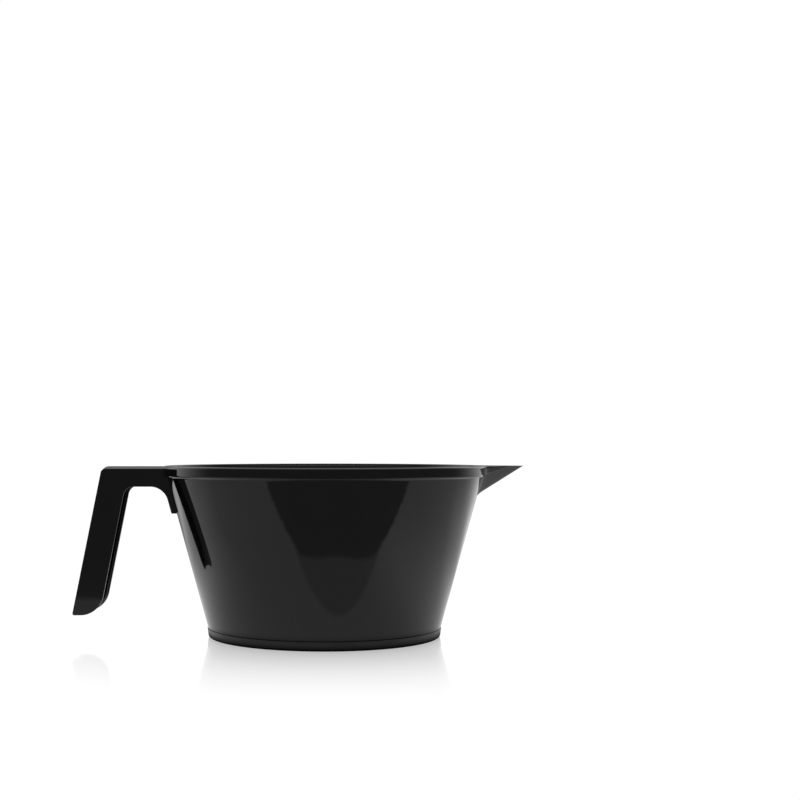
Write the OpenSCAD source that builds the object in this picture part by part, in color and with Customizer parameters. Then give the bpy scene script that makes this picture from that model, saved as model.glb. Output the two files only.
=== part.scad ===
// Bowl for mixing hair color: a conical bowl with a lip, a pouring spout and a hooked handle,
// standing on a rubber foot ring.
// +Z is up, +X points out along the spout and the handle is on the -X side.
// The origin is the centre of the face that the foot ring stands on.

/* [Bowl] */
// Height of the rim above the table
rim_h = 66.6; // [60:0.1:75]
// Outer radius of the rim
rim_r = 63; // [62.5:0.5:68]
// Outer radius of the cone, carried down to the table
base_r = 44.5; // [43:0.5:46]
// Thickness of the wall
wall_t = 1.8; // [1.4:0.1:2.4]
// Thickness of the floor
floor_t = 2.0; // [1.5:0.1:3]
// Height of the hollow under the floor
under_h = 3.0; // [2:0.1:3.5]
// Radius where the floor turns up into the wall
floor_fillet = 8; // [4:0.5:12]
// Height of the ribs under the floor
under_rib_h = 1.0; // [0.5:0.1:1.2]

/* [Lip] */
// Height of the upright band round the rim
lip_h = 4.3; // [3:0.1:5]
// Radius of the band's outer edges
lip_round = 0.9; // [0.4:0.1:1.2]

/* [Spout] */
// Distance from the bowl's axis to the spout's tip
spout_x = 78.2; // [76:0.2:84]
// Rise of the spout's keel, in degrees
spout_rise = 32; // [26:1:36]
// Half of the spout's angle seen from above, in degrees
spout_half = 34; // [30:1:40]
// How far the lip stands out of the spout's sides
spout_lip_t = 1.0; // [0.6:0.1:1.4]

/* [Handle] */
// Distance from the bowl's axis to the handle's outer top corner
handle_x = 86.3; // [82:0.1:92]
// Width of the handle
handle_w = 16; // [8:0.5:18]
// Height of the crown along the top of the handle
crown = 0.9; // [0.6:0.1:1.6]
// Depth of the crown's ridge below the rim
ridge_drop = 0.2; // [0.1:0.1:0.6]
// Depth of the handle's top bar
bar_h = 8.1; // [6:0.1:10]
// Depth of the handle's leg
leg_w = 10.45; // [8:0.05:12]
// Outward lean of the leg, in degrees
leg_lean = 11.2; // [6:0.1:14]
// Height of the leg's end above the table
leg_end_h = 8.7; // [6:0.1:16]
// Thickness of the handle's outer web
web_t = 2.2; // [1.6:0.1:3]
// Thickness of the handle's side walls
side_t = 1.8; // [1.4:0.1:2.4]
// Height of the lower end of the handle's root on the wall
root_end_h = 48.1; // [44:0.1:52]
// Thickness of the root where it lies on the wall
root_t = 1.5; // [1:0.1:2.5]
// Radius of the grip's corner by the leg
grip_leg_round = 4; // [2:0.5:6]
// Radius of the grip's corner by the wall
grip_wall_round = 7; // [4:0.5:9]
// Radius of the leg's end on its inner side
leg_end_round = 9; // [4:0.5:9.5]
// Radius of the outer top corner
handle_corner_round = 2; // [1:0.5:3]

/* [Foot ring] */
// Height of the rubber ring
ring_h = 3.6; // [2.4:0.1:4]
// Outer radius of the rubber ring
ring_r = 45.7; // [45.5:0.1:47]
// Inner radius of the rubber under the foot
ring_inner_r = 41.2; // [40:0.1:41.6]
// Thickness of the rubber under the foot
ring_under_t = 1.0; // [0.8:0.1:1.4]
// Radius of the bowl's foot inside the ring
seat_r = 44.2; // [43.6:0.1:44.4]
// Radius of the rubber ring's outer edges
ring_round = 0.8; // [0.4:0.1:1]

/* [Hidden] */
$fn = 128;
margin = 1;
lip_z = rim_h - lip_h;
lip_step = 1.4;
under_lip_r = rim_r - lip_step;
taper = (under_lip_r - base_r) / lip_z;
wall_angle = atan(taper);
wall_across = wall_t / cos(wall_angle);
floor_z = under_h + floor_t;
foot_inner_r = seat_r - wall_t;
rib_rs = [14, 28];
rib_t = 1.2;
gate_r = 3;
// The spout's sides meet in a straight keel: half of the angle between them, across the keel
keel_half = atan(tan(spout_half) / sin(spout_rise));
keel_len = 34;
spout_lip_x = spout_x - 3.6;
lean = tan(leg_lean);
leg_across = leg_w / cos(leg_lean);
crown_r = (pow(handle_w / 2, 2) + pow(crown, 2)) / (2 * crown);

// Outer radius of the cone at height z
function wall_r(z) = base_r + taper * z;
// Inner radius of the cone at height z
function inner_r(z) = wall_r(z) - wall_across;
// X of the leg's outer side and of its inner side at height z
function leg_outer(z) = -handle_x - (rim_h - z) * lean;
function leg_inner(z) = leg_outer(z) + leg_across;
// X of the outside of the handle's root at height z
function root_x(z) = -wall_r(z) - root_t / cos(wall_angle);

function unit(v) = v / norm(v);
// Centre of a circle of radius r that touches the two sides of the corner at p, towards a and b
function corner_centre(p, a, b, r) =
    let (u = unit(a - p), v = unit(b - p), half = acos(u * v) / 2)
    p + unit(u + v) * r / sin(half);
// Where that circle touches the side towards a
function corner_touch(p, a, b, r) =
    let (u = unit(a - p), v = unit(b - p), half = acos(u * v) / 2)
    p + u * r / tan(half);

// The waste between a corner and the circle that rounds it
module corner_waste(p, a, b, r) {
    difference() {
        polygon([p, corner_touch(p, a, b, r), corner_centre(p, a, b, r), corner_touch(p, b, a, r)]);
        translate(corner_centre(p, a, b, r)) circle(r);
    }
}

// Radial outline of the bowl's outside, filled to the axis
module outer_profile() {
    lip_low = [rim_r, lip_z];
    lip_top = [rim_r, rim_h];
    difference() {
        polygon([
            [0, under_h], [foot_inner_r, under_h], [foot_inner_r, ring_under_t], [seat_r, ring_under_t],
            [seat_r, ring_h], [wall_r(ring_h), ring_h], [wall_r(lip_z), lip_z],
            lip_low, lip_top, [0, rim_h]
        ]);
        corner_waste(lip_low, lip_top, [0, lip_z], lip_round);
        corner_waste(lip_top, lip_low, [0, rim_h], lip_round);
    }
}

// Radial outline of the room inside, with a round turn between floor and wall
module inner_profile() {
    low = [inner_r(floor_z), floor_z];
    top = [inner_r(rim_h + margin), rim_h + margin];
    difference() {
        polygon([[0, floor_z], low, top, [0, rim_h + margin]]);
        corner_waste(low, top, [0, floor_z], floor_fillet);
    }
}

// V-shaped prism along the keel, whose sides are moved outwards by grow
module keel_prism(grow, len) {
    depth = len * tan(spout_rise) + 2 * margin;
    translate([spout_x, 0, rim_h])
        rotate([0, -90 - spout_rise, 0])
            translate([-grow / sin(keel_half), 0, -len / 4])
                linear_extrude(len * 5 / 4)
                    polygon([[0, 0], [depth, -depth * tan(keel_half)], [depth, depth * tan(keel_half)]]);
}

// The space below the rim on the spout's side of the bowl
module below_rim() {
    translate([rim_r / 2, -rim_r, 0]) cube([spout_x, 2 * rim_r, rim_h]);
}

// The lip along the spout's sides, which runs out before it reaches the tip
module spout_lip() {
    run = spout_lip_x - rim_r;
    intersection() {
        keel_prism(spout_lip_t, keel_len);
        below_rim();
        rotate([90, 0, 0])
            linear_extrude(2 * rim_r, center = true)
                polygon([
                    [rim_r - run, lip_z], [rim_r, lip_z], [spout_lip_x, rim_h], [rim_r - run, rim_h]
                ]);
    }
}

module bowl_shell() {
    color([0.05, 0.05, 0.055])
    difference() {
        union() {
            rotate_extrude() outer_profile();
            intersection() {
                keel_prism(0, keel_len);
                below_rim();
            }
            spout_lip();
            for (r = rib_rs)
                translate([0, 0, under_h - under_rib_h])
                    difference() {
                        cylinder(h = under_rib_h + floor_t / 2, r = r + rib_t / 2);
                        translate([0, 0, -margin]) cylinder(h = under_rib_h + margin, r = r - rib_t / 2);
                    }
            translate([0, 0, under_h - under_rib_h / 2]) cylinder(h = floor_t, r = gate_r);
        }
        rotate_extrude() inner_profile();
        keel_prism(-wall_t - spout_lip_t / 4, keel_len);
    }
}

// The open grip between leg, bar and wall, as seen from the side
module grip_opening() {
    bar_z = rim_h - bar_h;
    leg_corner = [leg_inner(bar_z), bar_z];
    wall_corner = [root_x(bar_z), bar_z];
    leg_foot = [leg_inner(-margin), -margin];
    wall_foot = [root_x(-margin), -margin];
    difference() {
        polygon([leg_corner, leg_foot, wall_foot, wall_corner]);
        corner_waste(leg_corner, leg_foot, wall_corner, grip_leg_round);
        corner_waste(wall_corner, wall_foot, leg_corner, grip_wall_round);
    }
}

// Side view of the handle, which runs on into the bowl's wall
module handle_outline() {
    top_corner = [leg_outer(rim_h), rim_h];
    end_corner = [leg_inner(leg_end_h), leg_end_h];
    end_tip = [leg_outer(leg_end_h), leg_end_h];
    difference() {
        polygon([
            top_corner, end_tip, end_corner, [leg_inner(root_end_h), root_end_h],
            [-wall_r(root_end_h) + root_t, root_end_h], [-wall_r(rim_h) + root_t, rim_h]
        ]);
        grip_opening();
        corner_waste(top_corner, end_tip, [0, rim_h], handle_corner_round);
        corner_waste(end_corner, [leg_inner(rim_h), rim_h], end_tip, leg_end_round);
    }
}

// The channel that leaves the handle a web and two side walls, open towards the grip
module channel_outline() {
    web_across = web_t / cos(leg_lean);
    polygon([
        [leg_outer(rim_h - web_t) + web_across, rim_h - web_t],
        [leg_outer(-margin) + web_across, -margin], [0, -margin], [0, rim_h - web_t]
    ]);
}

// What the crown takes off along the two edges of the handle's top
module crown_waste() {
    ridge_z = rim_h - ridge_drop;
    difference() {
        translate([-2 * handle_x, -handle_w, ridge_z - 2 * crown])
            cube([2 * handle_x, 2 * handle_w, 4 * crown]);
        translate([margin, 0, ridge_z - crown_r])
            rotate([0, -90, 0]) cylinder(h = 3 * handle_x, r = crown_r);
    }
}

module handle() {
    color([0.05, 0.05, 0.055])
    difference() {
        rotate([90, 0, 0]) linear_extrude(handle_w, center = true) handle_outline();
        crown_waste();
        rotate([90, 0, 0])
            linear_extrude(handle_w - 2 * side_t, center = true) channel_outline();
        rotate_extrude() outer_profile();
        cylinder(h = under_h + margin, r = base_r);
    }
}

module foot_ring() {
    low = [ring_r, 0];
    top = [ring_r, ring_h];
    color([0.09, 0.09, 0.09])
    rotate_extrude()
        difference() {
            polygon([[ring_inner_r, 0], low, top, [seat_r, ring_h],
                [seat_r, ring_under_t], [ring_inner_r, ring_under_t]]);
            corner_waste(low, top, [0, 0], ring_round);
            corner_waste(top, low, [0, ring_h], ring_round);
        }
}

bowl_shell();
handle();
foot_ring();
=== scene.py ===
"""Looks of the hair color bowl: one glossy black moulding on a rubber foot ring, in a white studio.

Lengths are in metres, in the CAD frame: +Z is up, +X points out along the spout, and the handle is
on the -X side. Outlines turned about Z are (radius, height) points, and side views (x, z) points.
"""

import math

import bmesh
import bpy
from mathutils import Matrix, Vector


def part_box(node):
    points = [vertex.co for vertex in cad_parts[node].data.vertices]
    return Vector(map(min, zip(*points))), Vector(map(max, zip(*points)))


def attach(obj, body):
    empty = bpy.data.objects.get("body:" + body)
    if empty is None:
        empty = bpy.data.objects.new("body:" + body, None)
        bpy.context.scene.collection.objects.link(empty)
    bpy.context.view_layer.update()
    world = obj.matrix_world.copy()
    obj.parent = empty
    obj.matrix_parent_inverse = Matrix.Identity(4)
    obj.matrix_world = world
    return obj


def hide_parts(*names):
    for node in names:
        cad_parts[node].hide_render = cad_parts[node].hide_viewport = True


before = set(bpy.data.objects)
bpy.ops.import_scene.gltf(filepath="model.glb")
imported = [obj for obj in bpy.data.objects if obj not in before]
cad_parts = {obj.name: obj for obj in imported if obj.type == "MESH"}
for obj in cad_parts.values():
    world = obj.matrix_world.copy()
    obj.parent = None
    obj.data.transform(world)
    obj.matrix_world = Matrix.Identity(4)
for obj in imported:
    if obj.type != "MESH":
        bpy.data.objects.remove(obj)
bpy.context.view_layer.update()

MM = 0.001
MERGE_DIST = 0.001 * MM
TOUCH_DIST = 0.01 * MM
SHELL_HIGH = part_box("bowl_shell")[1]
HANDLE_LOW, HANDLE_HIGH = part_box("handle")
RING_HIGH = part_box("foot_ring")[1]

# Wall and lip
WALL_T = 1.8 * MM
RIM_Z = SHELL_HIGH.z
RIM_R = SHELL_HIGH.y
LIP_H = 4.3 * MM
LIP_STEP = 1.4 * MM
LIP_Z = RIM_Z - LIP_H
BASE_R = 44.5 * MM
TAPER = (RIM_R - LIP_STEP - BASE_R) / LIP_Z
WALL_ANGLE = math.atan(TAPER)
WALL_ACROSS = WALL_T / math.cos(WALL_ANGLE)
LIP_LOW_ROUND = 1.0 * MM
LIP_TOP_ROUND = 0.9 * MM
RIM_INNER_ROUND = 0.6 * MM

# Floor and foot
UNDER_Z = 3.0 * MM
FLOOR_T = 2.0 * MM
FLOOR_Z = UNDER_Z + FLOOR_T
FLOOR_FILLET = 8 * MM
SEAT_R = 44.2 * MM
FOOT_INNER_R = SEAT_R - WALL_T
RIB_RADII = (14 * MM, 28 * MM)
RIB_T = 1.2 * MM
RIB_H = 1.0 * MM
GATE_R = 3 * MM
UNDER_EDGE = 0.25 * MM

# Rows of faces: GATHER draws the spin's steps together at the spout, and rows a GUARD away from a
# corner keep the shading of the flat beside it even
SPIN_STEPS = 384
GATHER = 0.8
SPOUT_ROWS = 34
LOW_ROWS = 10
GUARD = 0.3 * MM

# Spout, whose lip runs out towards the tip
SPOUT_X = SHELL_HIGH.x
SPOUT_RISE = math.radians(32)
SPOUT_HALF = math.radians(34)
KEEL_ROUND = 0.7 * MM
SPOUT_BLEND = 2.2 * MM
SPOUT_LOW = 46 * MM
SPOUT_REACH = math.radians(26)
LIP_RUN_START = RIM_R - 1.5 * MM
LIP_RUN_END = SPOUT_X - 3.6 * MM
LIP_LOST = 0.96  # share of the lip's height that is gone at the tip
LIP_FOOT_LIFT = 0.955  # the same for the wall's last row under the lip, which stays just below it
STEP_LOST = 0.97  # share of the lip's step that is gone at the tip
TIP_THICKEN = 0.25  # share by which the wall grows thicker at the tip

# Handle
BAR_H = 8.1 * MM
LEG_W = 10.45 * MM
LEG_TURN = math.radians(11.2)
WEB_T = 2.2 * MM
SIDE_T = 1.8 * MM
HANDLE_HALF = (HANDLE_HIGH.y - HANDLE_LOW.y) / 2
BAR_Z = RIM_Z - BAR_H
LEAN = math.tan(LEG_TURN)
LEG_ACROSS = LEG_W / math.cos(LEG_TURN)
LEG_TOP_X = HANDLE_LOW.x + (RIM_Z - HANDLE_LOW.z) * LEAN
LEG_END_Z = HANDLE_LOW.z
WEB_ACROSS = WEB_T / math.cos(LEG_TURN)
CHANNEL_TOP_Z = RIM_Z - WEB_T
CHANNEL_HALF = HANDLE_HALF - SIDE_T
CHANNEL_ROUND = 1.5 * MM
CHANNEL_LOW_Z = -5 * MM
ROOT_T = 1.5 * MM
ROOT_END_Z = 48.1 * MM
ROOT_SINK = 1.0 * MM
TOP_ROUND = 2 * MM
TIP_ROUND = 0.7 * MM
HEEL_ROUND = 9 * MM
GRIP_LEG_ROUND = 4 * MM
GRIP_WALL_ROUND = 7 * MM
SHARP = math.radians(40)
THIN_EDGE = 1.1 * MM
FINE_EDGE = 0.15 * MM
RIDGE_DROP = 0.2 * MM
CROWN = 0.9 * MM
CROWN_DEPTH = 3.5 * MM
CROWN_STRIPS = 4

# Foot ring
RING_INNER_R = 41.2 * MM
RING_UNDER_T = 1.0 * MM
RING_SEAT_R = SEAT_R + 0.02 * MM
RING_LEAN = 0.3 * MM
RING_LEAN_TURN = 6  # degrees
RING_TOP_ROUND = 0.12 * MM
RING_LOW_ROUND = 1.1 * MM
RING_EDGE = 0.2 * MM
RING_STEPS = 192

# The studio: the white of floor and room, and how far the room is turned to the spout's side
WHITE = 1.02
ROOM_TURN = math.radians(8.5)
FLOOR_HALF = 6
VEIL_HALF = 0.4
VEIL_Z = 0.05 * MM

# The mirror image on the floor, which fades with the distance from the foot
MIRROR_START = 46 * MM
MIRROR_END = 162 * MM
MIRROR_SHARE = 0.5
MIRROR_ROUGHNESS = 0.06

# What the gloss sees of the room: dim in front, brightest at the two back corners, dimmer straight
# behind, and lit from above
ROOM_FRONT = 0.16
ROOM_CORNER = 1.05
ROOM_CORNER_FULL = 0.8
ROOM_BACK_SHARE = 0.28
ROOM_BACK_START, ROOM_BACK_FULL = 0.82, 0.96
TOP_LIGHT = 0.8
TOP_START, TOP_FULL = 0.55, 0.9

# What the gloss sees of the floor, painted light and shade in its glow: a dim front end, a softer
# shaded patch behind it, more light at the spout's side and the back, painted shade round the foot,
# and the room's own brightness far away
NEAR_LIGHT = 0.52
SIDE_LIGHT = 0.74
SIDE_START, SIDE_FULL = 15 * MM, 75 * MM
BACK_LIGHT = 0.88
BACK_START, BACK_FULL = -60 * MM, 40 * MM
FADE_SHARE = 0.75
FADE_START, FADE_FULL = 90 * MM, 170 * MM
DIM_LIGHT = 0.19
DIM_EDGE_Y = -97.7 * MM
DIM_HALF = 43 * MM
DIM_SPREAD = 0.29
DIM_BOW = 7 * MM
DIM_SOFT = 2 * MM
PATCH_SHARE = 0.7
PATCH_START, PATCH_FULL = -62 * MM, -57 * MM
PATCH_NOSE = 8 * MM
PATCH_SPREAD = 0.78
SHADE_LIGHT = 0.05
SHADE_START, SHADE_FULL = 45 * MM, 54 * MM
FAR_START, FAR_FULL = 0.17, 0.36

# Finishes: black and worn colour, and the least and greatest roughness
PLASTIC_BLACK, PLASTIC_WORN = (0.0030, 0.0030, 0.0032, 1), (0.0048, 0.0048, 0.0050, 1)
PLASTIC_ROUGH = (0.035, 0.075)
RUBBER_BLACK, RUBBER_DUSTY = (0.004, 0.004, 0.004, 1), (0.009, 0.009, 0.009, 1)
RUBBER_ROUGH = (0.26, 0.4)

# Camera
CAMERA_PLACE = (0, -0.55, 0.0746)
CAMERA_LENS = 63
CAMERA_SENSOR = 36
CAMERA_SHIFT = (0.0945, 0.0565)
CAMERA_CLIP = 0.01


def wall_r(z):
    """Outer radius of the cone at height z."""
    return BASE_R + TAPER * z


def inner_point(z):
    """The inner wall's point at height z."""
    return (wall_r(z) - WALL_ACROSS, z)


def arc(centre, radius, start, end, steps):
    """Points on an arc in the outline's plane, with angles in degrees."""
    turn = [math.radians(start + (end - start) * i / steps) for i in range(steps + 1)]
    return [(centre[0] + radius * math.cos(a), centre[1] + radius * math.sin(a)) for a in turn]


def line(start, end, steps):
    """Points between two ends, without the ends."""
    return [
        (start[0] + (end[0] - start[0]) * i / steps, start[1] + (end[1] - start[1]) * i / steps)
        for i in range(1, steps)
    ]


def smooth(value):
    """Eases a value between 0 and 1 in and out, and holds it outside them."""
    value = max(0.0, min(1.0, value))
    return value * value * (3 - 2 * value)


def underside_outline():
    """From the axis outwards: gate mark, two stiffening ribs, and up to the foot's inner side."""
    edge = UNDER_EDGE
    gate_z = UNDER_Z - RIB_H / 2
    points = [(0, gate_z), (GATE_R - edge, gate_z), (GATE_R, gate_z + edge)]
    points += [(GATE_R, UNDER_Z - edge), (GATE_R + edge, UNDER_Z)]
    for r in RIB_RADII:
        inside, outside, low = r - RIB_T / 2, r + RIB_T / 2, UNDER_Z - RIB_H
        points += [(inside - 3 * edge, UNDER_Z), (inside - edge, UNDER_Z), (inside, UNDER_Z - edge)]
        points += [(inside, low + edge), (inside + edge, low)]
        points += [(outside - edge, low), (outside, low + edge)]
        points += [(outside, UNDER_Z - edge), (outside + edge, UNDER_Z), (outside + 3 * edge, UNDER_Z)]
    points += [(FOOT_INNER_R - 4 * edge, UNDER_Z), (FOOT_INNER_R - edge, UNDER_Z)]
    points += [(FOOT_INNER_R, UNDER_Z - edge), (FOOT_INNER_R, RING_UNDER_T)]
    return points


def outside_outline():
    """From the foot up to just under the lip."""
    top = (wall_r(LIP_Z), LIP_Z)
    step = (wall_r(RING_HIGH.z), RING_HIGH.z)
    knee = (wall_r(SPOUT_LOW), SPOUT_LOW)
    over_step = RING_HIGH.z + GUARD
    under_lip = LIP_Z - 0.4 * GUARD
    points = [(SEAT_R, RING_UNDER_T), (SEAT_R, RING_HIGH.z), step, (wall_r(over_step), over_step)]
    points += line(step, knee, LOW_ROWS) + [knee]
    points += line(knee, top, SPOUT_ROWS) + [(wall_r(under_lip), under_lip)]
    return points


def lip_outline():
    """The upright band, from its lower edge over the rim to the inside."""
    flat = GUARD / 2
    low = (RIM_R - LIP_LOW_ROUND, LIP_Z + LIP_LOW_ROUND)
    high = (RIM_R - LIP_TOP_ROUND, RIM_Z - LIP_TOP_ROUND)
    inner = (inner_point(RIM_Z)[0] + RIM_INNER_ROUND, RIM_Z - RIM_INNER_ROUND)
    points = [(wall_r(LIP_Z) + GUARD / 6, LIP_Z)]
    points += arc(low, LIP_LOW_ROUND, -90, 0, steps=8)
    points += [(RIM_R, LIP_Z + LIP_LOW_ROUND + flat)]
    points += [(RIM_R, LIP_Z + LIP_H / 2), (RIM_R, RIM_Z - LIP_TOP_ROUND - flat)]
    points += arc(high, LIP_TOP_ROUND, 0, 90, steps=8)
    points += arc(inner, RIM_INNER_ROUND, 90, 180 + math.degrees(WALL_ANGLE) / 2, steps=6)
    return points


def inside_outline():
    """From under the rim down the inner wall, round the turn and across the floor to the axis."""
    centre_z = FLOOR_Z + FLOOR_FILLET
    centre = (inner_point(centre_z)[0] - FLOOR_FILLET / math.cos(WALL_ANGLE), centre_z)
    fillet = arc(centre, FLOOR_FILLET, -math.degrees(WALL_ANGLE), -90, steps=14)
    guard = 4 / 3 * GUARD
    top = inner_point(RIM_Z - RIM_INNER_ROUND - GUARD)
    knee = inner_point(SPOUT_LOW)
    floor_edge = (fillet[-1][0] - guard, FLOOR_Z)
    middle = (0, FLOOR_Z)
    points = [top] + line(top, knee, SPOUT_ROWS) + [knee]
    points += line(knee, fillet[0], LOW_ROWS - 1) + [inner_point(fillet[0][1] + guard)] + fillet
    points += [floor_edge] + line(floor_edge, middle, LOW_ROWS - 2) + [middle]
    return points


def keel_radius(turn, corner_x):
    """Distance from the axis to a rounded V with its corner at corner_x, at a turn from its middle."""
    c, s, t = math.cos(turn), math.sin(turn), math.tan(SPOUT_HALF)
    square = c * c * t * t - s * s
    half = corner_x * c * t * t
    rest = corner_x * corner_x * t * t - KEEL_ROUND * KEEL_ROUND
    return (half - math.sqrt(max(0.0, half * half - square * rest))) / square


def blend_max(a, b, width):
    """The larger of two radii, with a fillet where they cross."""
    near = max(width - abs(a - b), 0.0) / width
    return max(a, b) + near * near * width / 4


def pull_spout(point):
    """Moves a point of the plain bowl out into the pouring spout."""
    r = math.hypot(point.x, point.y)
    turn = math.atan2(point.y, point.x)
    z = point.z
    if abs(turn) > SPOUT_REACH or z < SPOUT_LOW or r < wall_r(z) - 2 * WALL_ACROSS:
        return point
    keel_half = math.atan(math.tan(SPOUT_HALF) / math.sin(SPOUT_RISE))
    per_depth = math.cos(WALL_ANGLE) / (math.sin(keel_half) * math.sin(SPOUT_RISE))
    corner_x = SPOUT_X + KEEL_ROUND / math.tan(SPOUT_HALF)
    rim_x = keel_radius(turn, corner_x) * math.cos(turn)
    run = smooth((rim_x - LIP_RUN_START) / (LIP_RUN_END - LIP_RUN_START))
    depth = wall_r(z) - r
    if z <= LIP_Z:
        z += LIP_FOOT_LIFT * run * LIP_H * (z - SPOUT_LOW) / (LIP_Z - SPOUT_LOW)
    else:
        z = RIM_Z - (RIM_Z - z) * (1 - LIP_LOST * run * (1 - smooth(depth / LIP_TOP_ROUND)))
    if depth < 0:
        depth *= 1 - STEP_LOST * run
    else:
        depth *= 1 + TIP_THICKEN * run
    keel_x = corner_x - (RIM_Z - z) / math.tan(SPOUT_RISE) - depth * per_depth
    r = blend_max(wall_r(z) - depth, keel_radius(turn, keel_x), SPOUT_BLEND)
    return Vector((r * math.cos(turn), r * math.sin(turn), z))


def gather(point):
    """Turns a point about the axis, so that the spin's steps lie closer together at the spout."""
    turn = math.atan2(point.y, point.x)
    turn -= GATHER * math.sin(turn)
    r = math.hypot(point.x, point.y)
    return Vector((r * math.cos(turn), r * math.sin(turn), point.z))


def mesh_piece(name, bm, material):
    """Makes a finished object at the origin from a bmesh."""
    mesh = bpy.data.meshes.new(name)
    bm.to_mesh(mesh)
    bm.free()
    mesh.shade_smooth()
    mesh.materials.append(material)
    piece = bpy.data.objects.new(name, mesh)
    bpy.context.scene.collection.objects.link(piece)
    return piece


def spin_outline(points, steps, closed=False):
    """A bmesh of an outline turned a full turn about Z."""
    bm = bmesh.new()
    verts = [bm.verts.new((r, 0, z)) for r, z in points]
    ends = zip(verts, verts[1:] + verts[:1]) if closed else zip(verts, verts[1:])
    edges = [bm.edges.new(pair) for pair in ends]
    bmesh.ops.spin(
        bm, geom=verts + edges, cent=(0, 0, 0), axis=(0, 0, 1), dvec=(0, 0, 0),
        angle=2 * math.pi, steps=steps, use_merge=True, use_duplicate=False,
    )
    bmesh.ops.remove_doubles(bm, verts=bm.verts, dist=MERGE_DIST)
    bmesh.ops.recalc_face_normals(bm, faces=bm.faces)
    return bm


def make_bowl(material):
    """The bowl's wall, floor, lip and spout."""
    points = underside_outline() + outside_outline() + lip_outline() + inside_outline()
    bm = spin_outline(points, SPIN_STEPS)
    for vert in bm.verts:
        if math.hypot(vert.co.x, vert.co.y) > TOUCH_DIST:
            vert.co = pull_spout(gather(vert.co))
    return mesh_piece("bowl_moulding", bm, material)


def leg_outer(z):
    """X of the leg's outer side at height z."""
    return LEG_TOP_X - (RIM_Z - z) * LEAN


def root_x(z):
    """X of the outside of the handle's root at height z."""
    return -wall_r(z) - ROOT_T / math.cos(WALL_ANGLE)


def rounded(corner, before, after, radius, steps):
    """Points of the arc that rounds a corner between two neighbours."""
    p, a, b = Vector(corner), Vector(before), Vector(after)
    u, v = (a - p).normalized(), (b - p).normalized()
    half = math.acos(u.dot(v)) / 2
    centre = p + (u + v).normalized() * radius / math.sin(half)
    start = p + u * radius / math.tan(half) - centre
    end = p + v * radius / math.tan(half) - centre
    sweep = start.angle_signed(end)
    return [tuple(centre + start @ Matrix.Rotation(sweep * i / steps, 2)) for i in range(steps + 1)]


def handle_outline():
    """Side view of the handle, running on a little into the bowl's wall."""
    top = (leg_outer(RIM_Z), RIM_Z)
    tip = (leg_outer(LEG_END_Z), LEG_END_Z)
    heel = (leg_outer(LEG_END_Z) + LEG_ACROSS, LEG_END_Z)
    grip_leg = (leg_outer(BAR_Z) + LEG_ACROSS, BAR_Z)
    grip_wall = (root_x(BAR_Z), BAR_Z)
    root_end = (root_x(ROOT_END_Z), ROOT_END_Z)
    wall_end = (-wall_r(ROOT_END_Z) + ROOT_SINK, ROOT_END_Z)
    wall_top = (-wall_r(RIM_Z) + ROOT_SINK, RIM_Z)
    points = rounded(top, wall_top, tip, TOP_ROUND, steps=8)
    points += rounded(tip, top, heel, TIP_ROUND, steps=4)
    points += rounded(heel, tip, grip_leg, HEEL_ROUND, steps=14)
    points += rounded(grip_leg, heel, grip_wall, GRIP_LEG_ROUND, steps=12)
    points += rounded(grip_wall, grip_leg, root_end, GRIP_WALL_ROUND, steps=16)
    points += [root_end, wall_end, wall_top]
    return points


def channel_outline():
    """Side view of the channel that leaves the handle a web and two side walls."""
    top = (leg_outer(CHANNEL_TOP_Z) + WEB_ACROSS, CHANNEL_TOP_Z)
    low = (leg_outer(CHANNEL_LOW_Z) + WEB_ACROSS, CHANNEL_LOW_Z)
    inner_top = (-RIM_R / 2, CHANNEL_TOP_Z)
    inner_low = (-RIM_R / 2, CHANNEL_LOW_Z)
    return rounded(top, low, inner_top, CHANNEL_ROUND, steps=6) + [inner_top, inner_low, low]


def prism(outline, half_width):
    """A bmesh of a side view, extruded to both sides of the XZ plane."""
    bm = bmesh.new()
    face = bm.faces.new([bm.verts.new((x, -half_width, z)) for x, z in outline])
    made = bmesh.ops.extrude_face_region(bm, geom=[face])
    moved = [v for v in made["geom"] if isinstance(v, bmesh.types.BMVert)]
    bmesh.ops.translate(bm, verts=moved, vec=(0, 2 * half_width, 0))
    bmesh.ops.recalc_face_normals(bm, faces=bm.faces)
    return bm


def apply_modifiers(piece):
    """Replaces a piece's mesh by what its modifiers make of it."""
    graph = bpy.context.evaluated_depsgraph_get()
    made = bpy.data.meshes.new_from_object(piece.evaluated_get(graph))
    piece.modifiers.clear()
    piece.data = made


def cut_channel(piece, material):
    """Takes the channel out of the handle."""
    cutter = mesh_piece("channel_cutter", prism(channel_outline(), CHANNEL_HALF), material)
    cut = piece.modifiers.new("channel", "BOOLEAN")
    cut.operation = "DIFFERENCE"
    cut.object = cutter
    apply_modifiers(piece)
    bpy.data.objects.remove(cutter)


def thin_edges(mesh):
    """Rounds the side walls off on the channel's side, so that they end in thin edges."""
    bm = bmesh.new()
    bm.from_mesh(mesh)
    edges = [
        edge for edge in bm.edges
        if edge.is_convex and edge.calc_face_angle(0) > SHARP
        and all(abs(abs(vert.co.y) - CHANNEL_HALF) < TOUCH_DIST for vert in edge.verts)
    ]
    bmesh.ops.bevel(
        bm, geom=edges, offset=THIN_EDGE, segments=4, profile=0.5, affect="EDGES",
        material=-1, clamp_overlap=True,
    )
    bm.to_mesh(mesh)
    bm.free()
    mesh.shade_smooth()


def round_edges(piece):
    """Gives every sharp edge that is left a small radius."""
    edges = piece.modifiers.new("edges", "BEVEL")
    edges.width = FINE_EDGE
    edges.segments = 3
    edges.limit_method = "ANGLE"
    edges.angle_limit = SHARP
    edges.use_clamp_overlap = True
    apply_modifiers(piece)


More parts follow.
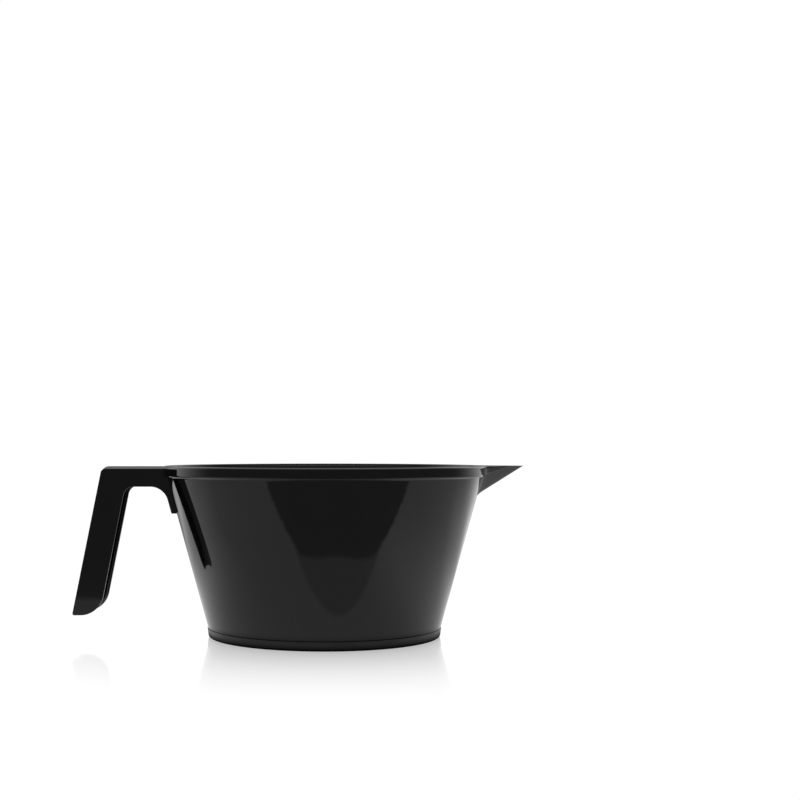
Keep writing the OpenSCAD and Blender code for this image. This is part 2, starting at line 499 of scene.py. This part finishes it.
def crown_top(mesh):
    """Bends the handle's top down towards its two edges."""
    bm = bmesh.new()
    bm.from_mesh(mesh)
    for i in range(1 - CROWN_STRIPS, CROWN_STRIPS):
        bmesh.ops.bisect_plane(
            bm, geom=bm.verts[:] + bm.edges[:] + bm.faces[:], dist=MERGE_DIST,
            plane_co=(0, i * HANDLE_HALF / CROWN_STRIPS, 0), plane_no=(0, 1, 0),
        )
    for vert in bm.verts:
        share = smooth((vert.co.z - RIM_Z + CROWN_DEPTH) / CROWN_DEPTH)
        vert.co.z -= (RIDGE_DROP + CROWN * (vert.co.y / HANDLE_HALF) ** 2) * share
    bm.to_mesh(mesh)
    bm.free()


def make_handle(material):
    """The hooked handle with its channel, thin edges and crowned top."""
    piece = mesh_piece("handle_moulding", prism(handle_outline(), HANDLE_HALF), material)
    cut_channel(piece, material)
    thin_edges(piece.data)
    round_edges(piece)
    crown_top(piece.data)
    weigh = piece.modifiers.new("weigh", "WEIGHTED_NORMAL")
    weigh.keep_sharp = True
    apply_modifiers(piece)
    return piece


def make_foot_ring(material):
    """The rubber ring, an L in section whose outer face draws in towards the table."""
    out, top, edge = RING_HIGH.y, RING_HIGH.z, RING_EDGE
    low_x = out - RING_LEAN - RING_LOW_ROUND
    points = [(RING_INNER_R + edge, 0), (RING_INNER_R + 2 * edge, 0), (low_x - edge, 0)]
    points += arc((low_x, RING_LOW_ROUND), RING_LOW_ROUND, -90, -RING_LEAN_TURN, steps=10)
    high = (out - RING_TOP_ROUND, top - RING_TOP_ROUND)
    points += arc(high, RING_TOP_ROUND, -RING_LEAN_TURN, 90, steps=5)
    points += [(RING_SEAT_R, top), (RING_SEAT_R, RING_UNDER_T), (RING_INNER_R + edge, RING_UNDER_T)]
    points += [(RING_INNER_R, RING_UNDER_T - edge), (RING_INNER_R, edge)]
    return mesh_piece("foot_ring_rubber", spin_outline(points, RING_STEPS, closed=True), material)


class Graph:
    """The nodes of one material or of the world, added by short calls that give back an output."""

    def __init__(self, owner):
        owner.use_nodes = True
        self.nodes = owner.node_tree.nodes
        self.links = owner.node_tree.links

    def add(self, kind):
        return self.nodes.new("ShaderNode" + kind)

    def feed(self, socket, value):
        """Links a socket to an output, or sets it to a plain value."""
        if isinstance(value, bpy.types.NodeSocket):
            self.links.new(value, socket)
        else:
            socket.default_value = value

    def math(self, operation, a, b=0.0):
        node = self.add("Math")
        node.operation = operation
        self.feed(node.inputs[0], a)
        self.feed(node.inputs[1], b)
        return node.outputs["Value"]

    def ramp(self, source, low, high, at_low, at_high, shape="SMOOTHSTEP"):
        """Maps low to high onto at_low to at_high, and holds the ends."""
        node = self.add("MapRange")
        node.interpolation_type = shape
        for key, value in zip(("From Min", "From Max", "To Min", "To Max"), (low, high, at_low, at_high)):
            node.inputs[key].default_value = value
        self.feed(node.inputs["Value"], source)
        return node.outputs["Result"]

    def blend(self, factor, a, b, kind="FLOAT"):
        """Blends two numbers, or two colours where the kind is RGBA."""
        node = self.add("Mix")
        node.data_type = kind
        self.feed(node.inputs["Factor"], factor)
        self.feed(node.inputs["A"], a)
        self.feed(node.inputs["B"], b)
        return node.outputs["Result"]

    def object_place(self):
        return self.add("TexCoord").outputs["Object"]

    def distance(self, place):
        """Distance of a place from the origin."""
        node = self.add("VectorMath")
        node.operation = "LENGTH"
        self.feed(node.inputs[0], place)
        return node.outputs["Value"]

    def turned(self, place):
        """A place turned with the room, split into x, y and z."""
        turn = self.add("VectorRotate")
        turn.rotation_type = "Z_AXIS"
        turn.inputs["Angle"].default_value = -ROOM_TURN
        self.feed(turn.inputs["Vector"], place)
        split = self.add("SeparateXYZ")
        self.feed(split.inputs["Vector"], turn.outputs["Vector"])
        return split.outputs["X"], split.outputs["Y"], split.outputs["Z"]

    def noise(self, place, scale, detail):
        node = self.add("TexNoise")
        node.inputs["Scale"].default_value = scale
        node.inputs["Detail"].default_value = detail
        self.feed(node.inputs["Vector"], place)
        return node.outputs["Fac"]

    def bump(self, height, strength, distance, under=None):
        """A bump on the plain surface, or on the normal of another bump under it."""
        node = self.add("Bump")
        node.inputs["Strength"].default_value = strength
        node.inputs["Distance"].default_value = distance
        self.feed(node.inputs["Height"], height)
        if under is not None:
            self.feed(node.inputs["Normal"], under)
        return node.outputs["Normal"]


def moulded_plastic():
    """Glossy black polypropylene with faint flow waves, orange peel and handling haze."""
    material = bpy.data.materials.new("moulded_plastic")
    graph = Graph(material)
    shader = graph.nodes["Principled BSDF"]
    place = graph.object_place()
    stretch = graph.add("Mapping")
    stretch.inputs["Scale"].default_value = (1, 1, 3)
    graph.feed(stretch.inputs["Vector"], place)
    waves = graph.noise(stretch.outputs["Vector"], scale=45, detail=2)
    peel = graph.noise(place, scale=900, detail=2)
    haze = graph.noise(place, scale=160, detail=5)
    wear = graph.ramp(haze, 0.3, 0.7, 0.0, 1.0, shape="LINEAR")
    rough = graph.ramp(haze, 0.35, 0.7, *PLASTIC_ROUGH, shape="LINEAR")
    slow = graph.bump(waves, strength=0.2, distance=0.25 * MM)
    fine = graph.bump(peel, strength=0.05, distance=0.01 * MM, under=slow)
    colour = graph.blend(wear, PLASTIC_BLACK, PLASTIC_WORN, kind="RGBA")
    graph.feed(shader.inputs["Base Color"], colour)
    graph.feed(shader.inputs["Roughness"], rough)
    graph.feed(shader.inputs["Normal"], fine)
    shader.inputs["IOR"].default_value = 1.49
    return material


def foot_rubber():
    """Satin black rubber with a fine grain."""
    material = bpy.data.materials.new("foot_rubber")
    graph = Graph(material)
    shader = graph.nodes["Principled BSDF"]
    place = graph.object_place()
    grain = graph.noise(place, scale=2500, detail=3)
    patches = graph.noise(place, scale=220, detail=4)
    colour = graph.blend(patches, RUBBER_BLACK, RUBBER_DUSTY, kind="RGBA")
    rough = graph.ramp(patches, 0.3, 0.7, *RUBBER_ROUGH, shape="LINEAR")
    graph.feed(shader.inputs["Base Color"], colour)
    graph.feed(shader.inputs["Roughness"], rough)
    graph.feed(shader.inputs["Normal"], graph.bump(grain, strength=0.3, distance=0.05 * MM))
    shader.inputs["IOR"].default_value = 1.5
    return material


def room_level(graph, toward_back):
    """Brightness of the room in a direction, from -1 at its front to 1 at its back."""
    rise = graph.ramp(toward_back, 0.0, ROOM_CORNER_FULL, ROOM_FRONT, ROOM_CORNER)
    fall = graph.ramp(toward_back, ROOM_BACK_START, ROOM_BACK_FULL, 1.0, ROOM_BACK_SHARE)
    return graph.math("MULTIPLY", rise, fall)


def lit_floor(graph, x, y, r):
    """Brightness of the floor round the foot without its dim parts."""
    side = graph.ramp(x, SIDE_START, SIDE_FULL, NEAR_LIGHT, SIDE_LIGHT)
    back = graph.ramp(y, BACK_START, BACK_FULL, NEAR_LIGHT, BACK_LIGHT)
    fade = graph.ramp(r, FADE_START, FADE_FULL, 1.0, FADE_SHARE)
    lit = graph.math("MULTIPLY", graph.math("MAXIMUM", side, back), fade)
    return graph.math("MAXIMUM", lit, NEAR_LIGHT)


def patch_share(graph, x, y):
    """What a painted shade patch with a rounded nose, widening to the front, leaves of the floor's
    brightness.
    """
    square = graph.math("ADD", graph.math("MULTIPLY", x, x), PATCH_NOSE ** 2)
    across = graph.math("SQRT", square)
    depth = graph.math("ADD", y, graph.math("MULTIPLY", across, PATCH_SPREAD))
    return graph.ramp(depth, PATCH_START, PATCH_FULL, PATCH_SHARE, 1.0)


def dim_end(graph, x, y):
    """1 in the dim front end, a painted shade in the floor's glow, whose edge bows forward in the middle
    and slants forward past DIM_HALF.
    """
    off_middle = graph.math("ABSOLUTE", x)
    beyond = graph.math("MAXIMUM", graph.math("SUBTRACT", off_middle, DIM_HALF), 0.0)
    bow = graph.ramp(off_middle, 0.0, DIM_HALF, DIM_BOW, 0.0)
    edge = graph.math("ADD", y, graph.math("MULTIPLY", beyond, DIM_SPREAD))
    edge = graph.math("ADD", edge, bow)
    return graph.ramp(edge, DIM_EDGE_Y + DIM_SOFT, DIM_EDGE_Y - DIM_SOFT, 0.0, 1.0)


def mirrored_floor(graph, place):
    """Painted brightness of the floor where the object's gloss mirrors it: light and shade in a glow that
    the camera doesn't see.
    """
    x, y, _ = graph.turned(place)
    r = graph.distance(place)
    near = graph.math("MULTIPLY", lit_floor(graph, x, y, r), patch_share(graph, x, y))
    near = graph.blend(dim_end(graph, x, y), near, DIM_LIGHT)
    # painted shade: the floor's glow darkens close round the foot
    shade = graph.ramp(r, SHADE_START, SHADE_FULL, SHADE_LIGHT, 1.0)
    near = graph.math("MULTIPLY", near, shade)
    far = room_level(graph, graph.math("DIVIDE", y, r))
    away = graph.ramp(r, FAR_START, FAR_FULL, 0.0, 1.0)
    return graph.blend(away, near, far)


def floor_sheet(name, half, z, material):
    """A level square sheet."""
    bm = bmesh.new()
    bmesh.ops.create_grid(bm, x_segments=1, y_segments=1, size=half)
    bmesh.ops.translate(bm, verts=bm.verts, vec=(0, 0, z))
    sheet = mesh_piece(name, bm, material)
    return sheet


def pale_floor():
    """White for the camera, with a soft mirror image round the foot; the gloss sees it lit unevenly."""
    material = bpy.data.materials.new("pale_floor")
    graph = Graph(material)
    graph.nodes.remove(graph.nodes["Principled BSDF"])
    place = graph.object_place()
    near = graph.ramp(graph.distance(place), MIRROR_START, MIRROR_END, 1.0, 0.0, shape="LINEAR")
    share = graph.math("MULTIPLY", graph.math("MULTIPLY", near, near), MIRROR_SHARE)
    plain = graph.add("Emission")
    plain.inputs["Strength"].default_value = WHITE
    mirror = graph.add("BsdfGlossy")
    mirror.inputs["Color"].default_value = (1, 1, 1, 1)
    mirror.inputs["Roughness"].default_value = MIRROR_ROUGHNESS
    glow = graph.add("Emission")
    graph.feed(glow.inputs["Strength"], mirrored_floor(graph, place))
    shown = graph.add("MixShader")
    graph.feed(shown.inputs["Fac"], share)
    graph.feed(shown.inputs[1], plain.outputs["Emission"])
    graph.feed(shown.inputs[2], mirror.outputs["BSDF"])
    whole = graph.add("MixShader")
    graph.feed(whole.inputs["Fac"], graph.add("LightPath").outputs["Is Camera Ray"])
    graph.feed(whole.inputs[1], glow.outputs["Emission"])
    graph.feed(whole.inputs[2], shown.outputs["Shader"])
    graph.feed(graph.nodes["Material Output"].inputs["Surface"], whole.outputs["Shader"])
    return material


def clear_sheet():
    """A fully clear finish."""
    material = bpy.data.materials.new("clear_sheet")
    graph = Graph(material)
    graph.nodes.remove(graph.nodes["Principled BSDF"])
    clear = graph.add("BsdfTransparent")
    graph.feed(graph.nodes["Material Output"].inputs["Surface"], clear.outputs["BSDF"])
    return material


def make_floor():
    """The floor, and over it a clear sheet by which the world knows the rays that the floor mirrors."""
    floor_sheet("floor", FLOOR_HALF, 0, pale_floor())
    veil = floor_sheet("veil", VEIL_HALF, VEIL_Z, clear_sheet())
    veil.visible_glossy = False
    veil.visible_diffuse = False
    veil.visible_shadow = False


def make_world():
    """A white room, of which the gloss sees a dim front end and a light from above."""
    world = bpy.data.worlds.new("studio")
    bpy.context.scene.world = world
    graph = Graph(world)
    _, toward_back, upward = graph.turned(graph.add("TexCoord").outputs["Generated"])
    path = graph.add("LightPath")
    past_veil = graph.math("MINIMUM", path.outputs["Transparent Depth"], 1.0)
    plain = graph.math("MAXIMUM", path.outputs["Is Camera Ray"], past_veil)
    above = graph.ramp(upward, TOP_START, TOP_FULL, 0.0, TOP_LIGHT)
    room = graph.math("MAXIMUM", room_level(graph, toward_back), above)
    background = graph.nodes["Background"]
    background.inputs["Color"].default_value = (1, 1, 1, 1)
    graph.feed(background.inputs["Strength"], graph.blend(plain, room, WHITE))


def make_camera():
    """A level view from the side, with the handle on the left and the spout on the right."""
    data = bpy.data.cameras.new("camera")
    data.lens = CAMERA_LENS
    data.sensor_width = CAMERA_SENSOR
    data.shift_x, data.shift_y = CAMERA_SHIFT
    data.clip_start = CAMERA_CLIP
    camera = bpy.data.objects.new("camera", data)
    camera.location = CAMERA_PLACE
    camera.rotation_euler = (math.radians(90), 0, 0)
    bpy.context.scene.collection.objects.link(camera)
    bpy.context.scene.camera = camera


make_camera()
make_world()
make_floor()

plastic = moulded_plastic()
rubber = foot_rubber()
for piece, node, slot_name in (
    (make_bowl(plastic), "bowl_shell", "moulded_plastic"),
    (make_handle(plastic), "handle", "moulded_plastic"),
    (make_foot_ring(rubber), "foot_ring", "foot_rubber"),
):
    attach(piece, "root")
    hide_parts(node)

bpy.context.scene.view_settings.view_transform = "Standard"
